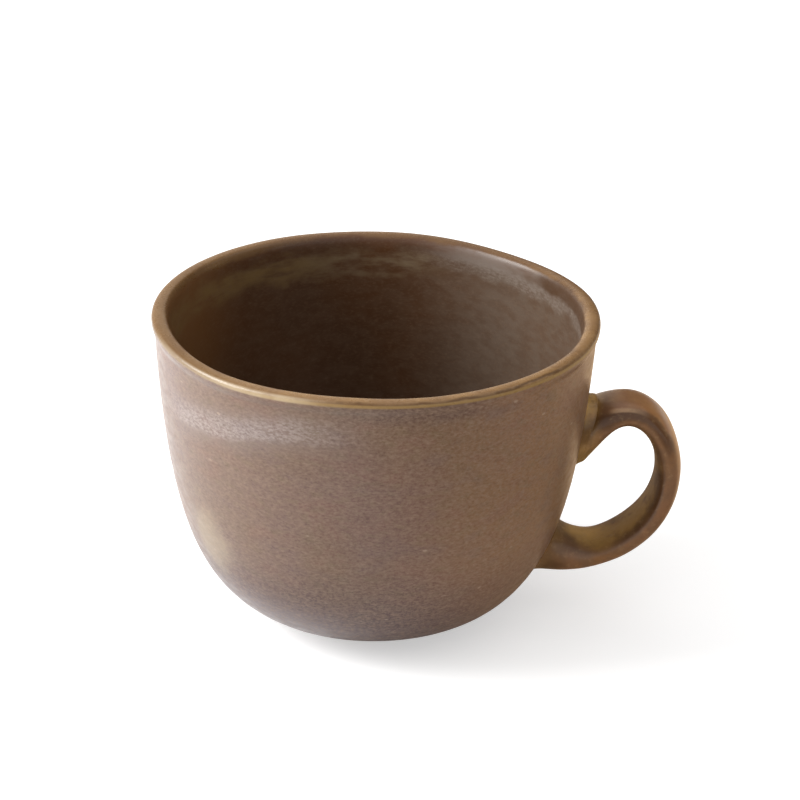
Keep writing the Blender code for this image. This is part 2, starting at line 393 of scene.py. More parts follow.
def strap_line():
    """The strap's centre line as (out, up) points, from inside the wall, round the finger and back."""
    upper = Vector((wall_radius(UPPER_ROOT_Z), UPPER_ROOT_Z))
    lower = Vector((wall_radius(LOWER_ROOT_Z), LOWER_ROOT_Z))
    arch = upper + Vector((ARCH_RUN, ARCH_RISE))
    outermost = Vector((handle_high.x - STRAP_THICKNESS / 2, HANDLE_MIDDLE_Z))
    level = lower + Vector((LOWER_RUN, 0.0))
    out = Vector((1.0, 0.0))
    up = Vector((0.0, 1.0))
    root_ease = ROOT_EASE * ARCH_RUN * out
    arch_ease = ARCH_EASE * (outermost.x - arch.x) * out
    shoulder_ease = SHOULDER_EASE * (arch.y - outermost.y) * up
    heel_ease = HEEL_EASE * (outermost.y - level.y) * up
    return_ease = RETURN_EASE * (outermost.x - level.x) * out
    start = upper - ROOT_DEPTH * out
    end = lower - ROOT_DEPTH * out
    stretches = (
        (start, start, upper, upper),
        (upper, upper + root_ease, arch - root_ease, arch),
        (arch, arch + arch_ease, outermost + shoulder_ease, outermost),
        (outermost, outermost - heel_ease, level + return_ease, level),
        (level, level, end, end),
    )
    line = [start]
    for curve, count in zip(stretches, STRETCH_POINTS):
        line += interpolate_bezier(*curve, count)[1:]
    return line


def web(run, sizes):
    depth, length, curve = sizes
    return depth * max(1.0 - max(run, 0.0) / length, 0.0) ** curve


def strap_rails():
    """Outer rail, inner rail and half width at each point of the strap's line."""
    line = strap_line()
    runs = [0.0]
    for before, after in zip(line, line[1:]):
        runs.append(runs[-1] + (after - before).length)
    rails = []
    for index, point in enumerate(line):
        along = (line[min(index + 1, len(line) - 1)] - line[max(index - 1, 0)]).normalized()
        outward = Vector((-along.y, along.x))
        upper = web(runs[index] - ROOT_DEPTH, UPPER_WEB)
        lower = web(runs[-1] - ROOT_DEPTH - runs[index], LOWER_WEB)
        spread = ROOT_SPREAD * (upper / UPPER_WEB[0] + lower / LOWER_WEB[0])
        outer = point + STRAP_THICKNESS / 2 * outward
        inner = point - (STRAP_THICKNESS / 2 + upper + lower) * outward
        rails.append((outer, inner, (STRAP_WIDTH + spread) / 2))
    return rails


RAILS = strap_rails()
print("the strap reaches", round(max(rail[0].x for rail in RAILS) / MM, 1), "mm out from the axis")

# %% [markdown]
# A section at the wall has to lie along the wall, and one in the free strap stands square to it. So each
# rail is asked where it is at a given distance from the wall, and the sections near the roots are hung
# between these two points. Further out, each section takes the rails' points at the same place along the
# strap.

# %% Sections of the strap
OUTER, INNER, HALF_WIDTH = range(3)
MIDDLE = len(RAILS) // 2


def rail_at(which, distance, upper):
    """The place along a rail, as an index with a fraction, where it is a distance off the wall."""
    steps = range(MIDDLE) if upper else range(len(RAILS) - 1, MIDDLE, -1)
    last = None
    for index in steps:
        gap = wall_distance(RAILS[index][which])
        if gap >= distance and last is not None:
            share = (distance - last[1]) / (gap - last[1])
            return last[0] + (index - last[0]) * share
        last = (index, gap)
    return float(MIDDLE)


def rail_point(which, place):
    index = min(int(place), len(RAILS) - 2)
    share = place - index
    return RAILS[index][which] * (1.0 - share) + RAILS[index + 1][which] * share


def section_between(outer_place, inner_place):
    """Outer point, inner point and half width of the strap between places along the two rails."""
    half_width = rail_point(HALF_WIDTH, (outer_place + inner_place) / 2)
    return rail_point(OUTER, outer_place), rail_point(INNER, inner_place), half_width


def section_near(distance, upper):
    """The strap's section at a distance from the wall."""
    return section_between(rail_at(OUTER, distance, upper), rail_at(INNER, distance, upper))


def free_sections(upper_distance, lower_distance, count):
    """Sections from one distance off the wall, round the strap, to the other."""
    first = [rail_at(which, upper_distance, True) for which in (OUTER, INNER)]
    last = [rail_at(which, lower_distance, False) for which in (OUTER, INNER)]
    made = []
    for step in range(count):
        share = step / (count - 1)
        made.append(section_between(*[start + (end - start) * share for start, end in zip(first, last)]))
    return made


print("the strap meets the wall from", [round(v / MM, 1) for v in section_near(0.0, True)[OUTER]],
      "to", [round(v / MM, 1) for v in section_near(0.0, True)[INNER]])

# %% [markdown]
# ## Lofting the strap
# A pulled strap has an oval section, a little fuller than an ellipse. In edit mode, one circle is added for
# each section, and its points are moved on to the oval between the rails. The loops are bridged into a
# tube, its ends are filled, and a Subdivision Surface smooths it. The part near the wall is then rolled
# round the bowl, because the strap was pressed on to a round wall and not on to a flat one.

# %% Tools of the loft
FULLNESS = 2.5         # 2 is an ellipse, and more is nearer to a rectangle
RING_POINTS = 28
ROLL_REACH = 8.0 * MM
SMOOTH_LEVELS = 2
STRAP_CREASE = math.radians(60)


def add_section(outer, inner, half_width, insets):
    """Adds an oval between the rails, drawn in at its outer and inner edge, and at its sides near each."""
    outer_inset, inner_inset, outer_side_inset, inner_side_inset = (inset * MM for inset in insets)
    outward = (outer - inner).normalized()
    outer = outer - outer_inset * outward
    inner = inner + inner_inset * outward
    middle = (outer + inner) / 2
    half_height = (outer - inner).length / 2
    bpy.ops.mesh.primitive_circle_add(vertices=RING_POINTS, radius=SEED)
    mesh = bmesh.from_edit_mesh(bpy.context.object.data)
    for index, vertex in enumerate(vertex for vertex in mesh.verts if vertex.select):
        angle = 2.0 * math.pi * index / RING_POINTS
        up = math.copysign(abs(math.sin(angle)) ** (2 / FULLNESS), math.sin(angle))
        side = math.copysign(abs(math.cos(angle)) ** (2 / FULLNESS), math.cos(angle))
        side_inset = inner_side_inset + (outer_side_inset - inner_side_inset) * (1 + up) / 2
        place = middle + half_height * up * outward
        vertex.co = (place.x, (half_width - side_inset) * side, place.y)
    bmesh.update_edit_mesh(bpy.context.object.data)


def roll_round_wall(piece):
    for vertex in piece.data.vertices:
        place = Vector((vertex.co.x, vertex.co.z))
        weight = min(max(1.0 - wall_distance(place) / ROLL_REACH, 0.0), 1.0)
        radius = wall_radius(place.y)
        vertex.co.x -= weight * (radius - math.sqrt(radius ** 2 - vertex.co.y ** 2))


def mark_round_strap(piece):
    """Marks each vertex: outwards (1) or to the finger (-1), sideways (1), and the mm off the wall."""
    tree = KDTree(len(RAILS))
    for index, (outer, inner, half_width) in enumerate(RAILS):
        tree.insert(((outer.x + inner.x) / 2, (outer.y + inner.y) / 2, 0.0), index)
    tree.balance()
    outwards = []
    sideways = []
    off_wall = []
    for vertex in piece.data.vertices:
        outer, inner, half_width = RAILS[tree.find((vertex.co.x, vertex.co.z, 0.0))[1]]
        across = outer - inner
        from_middle = Vector((vertex.co.x, vertex.co.z)) - (outer + inner) / 2
        outwards.append(2.0 * from_middle.dot(across) / across.length_squared)
        sideways.append(abs(vertex.co.y) / half_width)
        off_wall.append(wall_distance(Vector((vertex.co.xy.length, vertex.co.z))) / MM)
    for name, values in (("outwards", outwards), ("sideways", sideways), ("off_wall", off_wall)):
        piece.data.attributes.new(name, "FLOAT", "POINT").data.foreach_set("value", values)


def loft(name, sections):
    """Lofts (outer, inner, half width, insets) sections into one closed piece."""
    piece = new_piece(name)
    bpy.ops.mesh.delete(type="VERT")
    for section in sections:
        add_section(*section)
    bpy.ops.mesh.select_all(action="SELECT")
    bpy.ops.mesh.bridge_edge_loops()
    bpy.ops.mesh.select_all(action="SELECT")
    bpy.ops.mesh.fill_holes(sides=0)
    close_up()
    smooth = piece.modifiers.new("smooth", "SUBSURF")
    smooth.levels = SMOOTH_LEVELS
    smooth.render_levels = SMOOTH_LEVELS
    bpy.ops.object.modifier_apply(modifier=smooth.name)
    roll_round_wall(piece)
    mark_round_strap(piece)
    bpy.ops.object.shade_smooth_by_angle(angle=STRAP_CREASE)
    return piece


print("each section has", RING_POINTS, "points")

# %% Loft the handle
# In mm: distance from the wall, and the insets at the outer edge, inner edge, and sides near each of them. A
# single inset holds all round.
UPPER_ROOT = (
    (-0.6, 1.10, -0.70, 0.90, -0.90),
    (0.0, 1.00, -0.60, 0.85, -0.85),
    (0.6, 0.90, -0.33, 0.80, -0.55),
    (1.3, 0.75, -0.10, 0.70, -0.22),
    (2.0, 0.50, 0.0, 0.50, -0.07),
    (2.6, 0.20, 0.0, 0.25, 0.0),
    (3.2, 0.05, 0.0, 0.08, 0.0),
    (3.9, 0.0),
)
LOWER_ROOT = ((2.8, 0.0), (2.0, -0.07), (1.3, -0.22), (0.6, -0.55), (0.0, -0.85), (-0.6, -0.90))
NO_INSET = (0.0, 0.0, 0.0, 0.0)
UPPER_FREE = 4.6 * MM        # where the sections stop following the wall
LOWER_FREE = 3.5 * MM
FREE_COUNT = 44
HANDLE_WAVER = 0.25 * MM
HANDLE_WAVER_SIZE = 9 * MM


def root_sections(steps, upper):
    sections = []
    for distance, *insets in steps:
        sections.append((*section_near(distance * MM, upper), insets * (4 // len(insets))))
    return sections


round_the_finger = [(*section, NO_INSET) for section in free_sections(UPPER_FREE, LOWER_FREE, FREE_COUNT)]
strap = root_sections(UPPER_ROOT, True) + round_the_finger + root_sections(LOWER_ROOT, False)
handle = loft("strap_handle", strap)
waver(handle, HANDLE_WAVER, HANDLE_WAVER_SIZE)
print("handle:", len(handle.data.polygons), "faces")

# %% [markdown]
# ## The two joints
# The strap is stuck on with slip, a clay cream, that squeezes out and is wiped into a small fillet. At the
# upper root the glaze pools in a short neck, nearly flush with the strap's outer edge. At the lower one
# only the fillet shows. Both are lofted from the same rails: the sections start a little wider than the
# strap inside the wall and shrink.

# %% Upper and lower joint
NECK = (
    (-0.8, -1.00, -1.20, -0.70, -1.70),
    (0.0, -0.75, -0.85, -0.50, -1.25),
    (0.35, -0.60, -0.60, -0.20, -0.92),
    (0.7, -0.48, -0.30, 0.0, -0.60),
    (1.1, -0.40, 0.10, 0.15, -0.20),
    (1.8, -0.35, 0.50, 0.25, 0.40),
    (2.5, -0.20, 0.80, 0.35, 0.80),
    (3.2, 0.40, 1.20, 0.80, 1.20),
)
FILLET = ((-0.8, -1.70), (0.0, -1.25), (0.35, -0.92), (0.7, -0.60), (1.1, -0.25), (1.6, 0.10), (2.2, 0.50))
upper_joint = loft("upper_slip_neck", root_sections(NECK, True))
lower_joint = loft("lower_slip_fillet", root_sections(FILLET, False))
print("joints:", len(upper_joint.data.polygons), "and", len(lower_joint.data.polygons), "faces")

# %% [markdown]
# ## Each piece takes its node's place
# Nothing moves on a cup, so every piece rides on the one body, and hides the CAD node that it stands for.

# %% Ride and replace
PIECES = (
    (bowl, "bowl", "bowl_glaze"),
    (foot, "foot_ring", "bare_clay"),
    (handle, "handle", "handle_glaze"),
    (upper_joint, "upper_joining_slip", "joint_glaze"),
    (lower_joint, "lower_joining_slip", "joint_glaze"),
)
for piece, node_name, slot_name in PIECES:
    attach(piece, "root")
    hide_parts(node_name)
    print(piece.name, "replaces", node_name)

# %% [markdown]
# ## Building a material
# Glaze is a skin of coloured glass over clay. Its colour comes from how thick it lies and how the kiln
# cooled it, so the materials below are layers, each with the size of a real thing: clouds of warm and cool
# brown, a mottle of crystals, fine grain and a few specks. Colours are sRGB hex values. One function adds
# any node and gives back one of its outputs, so that a pattern can be written as one line after another.
# Inputs go by their names, or by number where the names repeat: a Map Range takes its value as 0, the range
# it comes from as 1 and 2 and the range it goes to as 3 and 4, and a Mix of colours takes the share as 0
# and the two colours as 6 and 7.

# %% Colours and nodes


def colour(hex_value):
    """An sRGB hex value as linear RGBA."""
    parts = [int(hex_value[place:place + 2], 16) / 255 for place in (1, 3, 5)]
    linear = [part / 12.92 if part <= 0.04045 else ((part + 0.055) / 1.055) ** 2.4 for part in parts]
    return (*linear, 1.0)


def per(size_mm):
    """A texture's scale, for features of a size in millimetres."""
    return 1.0 / (size_mm * MM)


def new_material(name):
    material = bpy.data.materials.new(name)
    material.use_nodes = True
    return material, material.node_tree, material.node_tree.nodes["Principled BSDF"]


def add_node(tree, kind, inputs=None, output=None, **settings):
    """Adds a node with its settings, fills its inputs with values or other outputs, and gives one output."""
    node = tree.nodes.new("ShaderNode" + kind)
    for name, value in settings.items():
        setattr(node, name, value)
    for name, value in (inputs or {}).items():
        if isinstance(value, bpy.types.NodeSocket):
            tree.links.new(value, node.inputs[name])
        else:
            node.inputs[name].default_value = value
    if output:
        return node.outputs[output]
    return next(socket for socket in node.outputs if socket.enabled)


SOFT = {"interpolation_type": "SMOOTHSTEP"}
print("a mid brown in linear colour:", [round(value, 3) for value in colour("#786255")])

# %% [markdown]
# ## The bowl's glaze
# A satin stoneware glaze, dipped: mauve brown outside with a fine mottle of crystals, golden tan on the
# lip, where it runs thin, and a deeper brown inside, where it lies thick. First come the patterns that all
# three share. The mottle is drawn about twice as coarse as the real crystals, which are too fine to show.
# It is flattened, because the wheel drags the glaze a little sideways. The length from the lip places the
# zones, and a soft noise makes their borders wander. Towards the left the borders outside hang lower.

# %% Patterns of the bowl's glaze
POOL_PLACE = Vector((-38.6, -30.6, 31.0)) * MM     # where the dipped glaze gathered
POOL_STRETCH = Vector((1.0, 1.0, 0.7))             # and ran down a little

# Coloured glass full of fine crystals: the eye sees a soft sheen, and a brown that is nowhere quite even
bowl_glaze, tree, shader = new_material("satin_stoneware_glaze")
add = partial(add_node, tree)
place = add("TexCoord", output="Object")
x_place = add("SeparateXYZ", {"Vector": place}, output="X")
y_place = x_place.node.outputs["Y"]
z_place = x_place.node.outputs["Z"]
lip = add("Attribute", output="Fac", attribute_name="from_lip")
flat = add("Mapping", {"Vector": place, "Scale": (1.0, 1.0, 2.0)})
cloud = add("TexNoise", {"Vector": place, "Scale": per(32), "Detail": 2.0})
dragged = add("Mapping", {"Vector": place, "Scale": (1.0, 1.0, 5.0)})
streak = add("TexNoise", {"Vector": dragged, "Scale": per(15), "Detail": 4.0, "Roughness": 0.65})
blush = add("TexNoise", {"Vector": flat, "Scale": per(11), "Detail": 3.0})
patch = add("TexNoise", {"Vector": flat, "Scale": per(4), "Detail": 3.0})
mottle = add("TexNoise", {"Vector": flat, "Scale": per(1.1), "Detail": 4.0, "Roughness": 0.7})
grain = add("TexNoise", {"Vector": place, "Scale": per(0.6), "Detail": 2.0, "Roughness": 0.6})
wander = add("TexNoise", {"Vector": place, "Scale": per(9), "Detail": 3.0, "Roughness": 0.6})
sway = add("MapRange", {0: wander, 1: 0.2, 2: 0.8, 3: -2.4, 4: 2.4})
wavy = add("Math", {0: lip, 1: sway}, operation="ADD")
calm = add("Math", {0: sway, 1: 0.4, 2: lip}, operation="MULTIPLY_ADD")
droop = add("MapRange", {0: x_place, 1: -0.018, 2: -0.046, 3: 0.0, 4: -6.4})
hanging = add("Math", {0: calm, 1: droop}, operation="ADD")
tall = add("Mapping", {"Vector": place, "Scale": POOL_STRETCH})
from_pool = add("VectorMath", {0: tall, 1: POOL_PLACE * POOL_STRETCH}, operation="DISTANCE",
                output="Value")
pool_edge = add("Math", {0: wander, 1: 9 * MM, 2: from_pool}, operation="MULTIPLY_ADD")
speck = add("TexVoronoi", {"Vector": flat, "Scale": per(7)}, output="Distance")
speck_lot = add("SeparateColor", {"Color": speck.node.outputs["Color"]}, output="Red")
print("patterns:", len(tree.nodes), "nodes")

# %% [markdown]
# Each mask is a pattern taken softly from a low to a high value. Some masks are products of others, such as
# a band with a top, a foot and two ends. A skin is a row of colours, laid through these masks over a ground
# of two clouded colours. One function does this for every glaze of the cup.

# %% Layers of a glaze


def layered(add, masks, zones, products, ground, layers):
    """Adds masks and products of masks to those there are, and gives the colours laid through them."""
    for name, pattern, low, high, *strengths in zones:
        start, end = ([0.0] + (strengths or [1.0]))[-2:]
        masks[name] = add("MapRange", {0: pattern, 1: low, 2: high, 3: start, 4: end}, **SOFT)
    for name, *factors in products:
        product = masks[factors[0]]
        for factor in factors[1:]:
            product = add("Math", {0: product, 1: masks[factor]}, operation="MULTIPLY")
        masks[name] = product
    name, first, second = ground
    skin = add("Mix", {0: masks[name], 6: colour(first), 7: colour(second)}, data_type="RGBA")
    for name, tint in layers:
        skin = add("Mix", {0: masks[name], 6: skin, 7: colour(tint)}, data_type="RGBA")
    return skin


masks = {}
print("masks so far:", len(masks))

# %% [markdown]
# Outside, the brown turns warmer towards the handle, and cooler and darker low down: partly the glaze's own
# colour, partly painted shade where the wall turns under. Painted shade also darkens the right edge by the
# handle, a painted sheen lightens the left side, and a painted reflection of the white floor pales the low
# left. On the other side, a band of pale lavender crystals hangs under the lip, and the glaze pooled to a
# cream patch below it.

# %% The bowl's outside
# A zone's name, its pattern, the values where it starts and ends (places in m, lengths from the lip in mm),
# and how strong it is there: from 0 to 1, from 0 to the number given, or from one number to the other
OUTSIDE_ZONES = (
    ("light crystals", mottle, 0.42, 0.70, 0.65),
    ("dark crystals", mottle, 0.48, 0.27, 0.45),
    ("grain", grain, 0.35, 0.70, 0.45),
    ("cool", cloud, 0.35, 0.65),
    ("warm side", x_place, 0.005, 0.045, 0.8),
    ("shade side", x_place, 0.0395, 0.050, 0.40),
    ("blush", blush, 0.50, 0.72, 0.40),
    ("green", patch, 0.50, 0.30, 0.35),
    ("mauve", blush, 0.48, 0.28, 0.40),
    ("far side", x_place, 0.002, -0.027),
    ("near end", x_place, -0.0505, -0.043),
    # painted sheen: a pale grey over the window-lit left side
    ("bloom", x_place, 0.002, -0.045, 0.34),
    ("band top", hanging, 5.5, 10.5),
    ("band foot", hanging, 14.4, 12.2),
    ("band dots", mottle, 0.36, 0.64, 0.02, 0.40),
    ("veil top", hanging, 3.0, 10.0, 0.30),
    ("veil foot", hanging, 19.0, 12.5),
    ("under lip", calm, 9.0, 5.0, 0.7),
    ("under lip start", x_place, -0.015, 0.008),
    ("under lip end", x_place, 0.034, 0.018),
    # darker and more mauve low down: partly the glaze's own colour, partly painted shade where the wall turns
    # under
    ("low", z_place, 0.036, 0.012, 0.90),
    ("rust low", z_place, 0.036, 0.018, 0.45),
    ("rust side", x_place, 0.014, 0.038),
    # painted reflection of the white floor: a pale bluish tint low on the left
    ("frost", z_place, 0.024, 0.010, 0.55),
    ("frost side", x_place, 0.006, -0.020),
    ("cream", pool_edge, 0.0130, 0.0075, 0.40),
    ("speck size", speck, 0.12, 0.05, 0.32),
    ("speck lot", speck_lot, 0.45, 0.62),
)
OUTSIDE_PRODUCTS = (
    ("band", "band top", "band foot", "far side", "near end", "band dots"),
    ("veil", "veil top", "veil foot", "far side", "near end"),
    ("under lip", "under lip", "under lip start", "under lip end"),
    ("frost", "frost", "frost side"),
    ("rust low", "rust low", "rust side"),
    ("specks", "speck size", "speck lot"),
)
OUTSIDE_LAYERS = (
    ("warm side", "#866242"), ("shade side", "#5C3B1E"), ("bloom", "#7C706C"), ("blush", "#704D42"),
    ("green", "#66573F"), ("mauve", "#5E4B4A"), ("low", "#3D2D34"), ("rust low", "#79533A"),
    ("frost", "#857C81"), ("under lip", "#4F3C39"), ("light crystals", "#866F5E"),
    ("dark crystals", "#463224"), ("grain", "#75604F"), ("veil", "#7C7270"), ("band", "#A79D9A"),
    ("cream", "#9E8F76"), ("specks", "#B09B86"),
)
outside = layered(add, masks, OUTSIDE_ZONES, OUTSIDE_PRODUCTS, ("cool", "#644B38", "#644A42"), OUTSIDE_LAYERS)
print("outside:", len(tree.nodes), "nodes so far")

# %% [markdown]
# Inside, the glaze lies thick and dark. Under the lip a band of olive streaks runs round the left and the
# back. The side towards the handle is a lighter lavender grey: there a painted sheen, a pale grey zone,
# and a fringe of pale crystals lie close under the lip, and end in a brown patch.

# %% The bowl's inside
INSIDE_ZONES = (
    ("haze", x_place, 0.000, 0.036, 0.60),
    ("haze patches", patch, 0.30, 0.65, 0.75, 1.0),
    ("soft mottle", patch, 0.35, 0.70, 0.40),
    ("olive side", x_place, -0.034, -0.050, 0.7),
    ("streak top", wavy, -4.5, -8.0),
    ("streak foot", wavy, -14.0, -10.0),
    ("streaks", streak, 0.34, 0.62, 0.05, 0.70),
    ("streak break", patch, 0.30, 0.60, 0.60, 1.0),
    ("streak start", x_place, -0.034, -0.004, 0.75, 1.0),
    ("streak end", x_place, 0.022, 0.006),
    ("fringe top", wavy, -3.6, -6.0),
    ("fringe foot", wavy, -9.6, -7.2),
    ("fringe dots", mottle, 0.36, 0.66, 0.12, 0.50),
    # painted sheen: a pale grey zone close under the lip, on the side towards the handle
    ("cool top", calm, -1.4, -2.8, 0.45),
    ("cool foot", wavy, -7.5, -4.5),
    ("cool side", x_place, 0.004, 0.028),
    ("cool end", x_place, 0.046, 0.032, 0.30, 1.0),
    ("cool break", streak, 0.34, 0.58, 0.45, 1.0),
    ("inner crystals", mottle, 0.45, 0.75, 0.30),
    ("rust near lip", wavy, -5.0, -2.5, 0.3),
    ("olive left", x_place, -0.006, -0.030),
    ("brown end", calm, -0.8, -1.8, 0.80),
    ("brown end foot", calm, -6.4, -4.9),
    ("brown end side", x_place, 0.0395, 0.0435),
    ("deep", lip, -45.0, -75.0, 0.5),
    ("back", y_place, 0.020, 0.045),
)
INSIDE_PRODUCTS = (
    ("streaks", "streaks", "streak top", "streak foot", "streak break", "streak start", "streak end"),
    ("fringe", "fringe top", "fringe foot", "fringe dots", "haze"),
    ("haze", "haze", "haze patches"),
    ("rust", "rust near lip", "back"),
    ("inner sheen", "cool top", "cool foot", "cool side", "cool end", "cool break"),
    ("olive streaks", "streaks", "olive left"),
    ("brown end", "brown end", "brown end foot", "brown end side"),
)
INSIDE_LAYERS = (
    ("soft mottle", "#523D2C"), ("olive side", "#6E4B29"), ("haze", "#605449"), ("streaks", "#71614B"),
    ("olive streaks", "#6A4F1E"), ("deep", "#5C3B22"), ("rust", "#5A3620"), ("inner sheen", "#857B74"),
    ("inner crystals", "#6B5746"), ("fringe", "#90877F"), ("brown end", "#46301F"),
)
inside = layered(add, masks, INSIDE_ZONES, INSIDE_PRODUCTS, ("cool", "#4A2E19", "#462F1F"), INSIDE_LAYERS)
print("inside:", len(tree.nodes), "nodes so far")

# %% [markdown]
# On the lip the glaze breaks to tan. Where the edge turns over, a broken dark line is a painted dark
# reflection; a thin gold line lies under it, and at the left in front a pale edge is partly the glaze
# breaking pale and partly a painted highlight. Behind, the tan is darker and reaches further down the inside.
# The three skins meet at lengths from the lip. The surface is satin: rough enough to blur the room, smooth
# enough for a soft gleam on the edge, with a faint pebble from the crystals.

# %% The bowl's lip, and the whole glaze
SATIN_ROUGHNESS = (0.28, 0.38)
LIP_ROUGHNESS = (0.24, 0.32)
behind = add("MapRange", {0: y_place, 1: -0.02, 2: 0.03}, **SOFT)
lip_reach = add("MapRange", {0: x_place, 1: -0.008, 2: -0.030, 3: 0.6, 4: 2.0}, **SOFT)
inner_edge = add("Math", {0: behind, 1: lip_reach, 2: calm}, operation="MULTIPLY_ADD")
LIP_ZONES = (
    ("lip tone", wander, 0.30, 0.70),
    ("lip crystals", mottle, 0.42, 0.70, 0.35),
    # painted reflection: a broken dark line where the lip's edge turns over
    ("line top", calm, 0.90, 1.70, 0.75),
    ("line foot", calm, 2.40, 1.80),
    ("line break", wander, 0.36, 0.58, 0.25, 1.0),
    ("line end", x_place, 0.051, 0.044),
    ("line side", x_place, -0.030, 0.000),
    ("edge", lip, 1.85, 2.20, 0.7),
    # pale edge: partly the glaze breaking pale, partly a painted highlight at the left in front
    ("pale edge", lip, 1.00, 1.70, 0.72),
    ("pale side", x_place, -0.004, -0.022),
    ("pale far", x_place, -0.024, -0.038, 0.70, 1.0),
    ("pale front", y_place, -0.010, -0.026),
    ("pale break", wander, 0.30, 0.55, 0.35, 1.0),
    ("out of the cup", lip, -0.5, 0.5),
    ("lip inside", inner_edge, -2.0, -0.5),
    ("far lip", y_place, -0.012, 0.045, 0.65),
    ("far lip end", x_place, -0.046, -0.024, 0.40, 1.0),
    ("left lip", x_place, -0.022, -0.048, 0.66),
    ("lip outside", lip, 3.00, 2.50),
    ("satin", patch, 0.30, 0.70, *SATIN_ROUGHNESS),
    ("lip gloss", patch, 0.30, 0.70, *LIP_ROUGHNESS),
)
LIP_PRODUCTS = (
    ("line", "line top", "line foot", "line side", "line break", "line end"),
    ("lip", "lip inside", "lip outside"),
    ("pale edge", "pale edge", "pale side", "pale front", "pale break", "pale far"),
    ("far lip", "far lip", "far lip end"),
)
LIP_LAYERS = (
    ("lip crystals", "#8A6E4F"), ("far lip", "#4A301D"), ("line", "#44280C"), ("edge", "#8E7142"),
    ("pale edge", "#B8A88E"), ("left lip", "#4F3412"),
)
tan = layered(add, masks, LIP_ZONES, LIP_PRODUCTS, ("lip tone", "#6C5034", "#80623E"), LIP_LAYERS)
skin = add("Mix", {0: masks["out of the cup"], 6: inside, 7: outside}, data_type="RGBA")
skin = add("Mix", {0: masks["lip"], 6: skin, 7: tan}, data_type="RGBA")
pebble = add("Bump", {"Height": mottle, "Strength": 0.15, "Distance": 0.03 * MM})
roughness = add("Mix", {0: masks["lip"], 2: masks["satin"], 3: masks["lip gloss"]})
tree.links.new(skin, shader.inputs["Base Color"])
tree.links.new(roughness, shader.inputs["Roughness"])
tree.links.new(pebble, shader.inputs["Normal"])
shader.inputs["Specular IOR Level"].default_value = 0.3
bowl.data.materials.append(bowl_glaze)
print("bowl glaze:", len(tree.nodes), "nodes")

# %% [markdown]
# ## The handle's glaze
# The same glaze lies thinner on the strap, so it is a warmer, glossier brown. A painted dark reflection runs
# along the shoulders, with a painted glint on the arch's top edge; painted shade lies beside the upper joint,
# and the flanks get a darker, cooler painted shade and reflection. The finger's side is olive and rougher,
# with a dark line along its edge and a patch of painted light over the lower root. Near the wall the glaze
# pooled olive too, with dark runs in it and a band of painted shade round the neck. The crystals are drawn
# coarser than real ones here too. Handle and joints get the same layers, so that the colour runs on over the
# joint as it does on the real cup.

# %% Glaze of the handle and its joints
FINGER_ROUGHNESS = (0.28, 0.72)     # outside, and on the finger's side


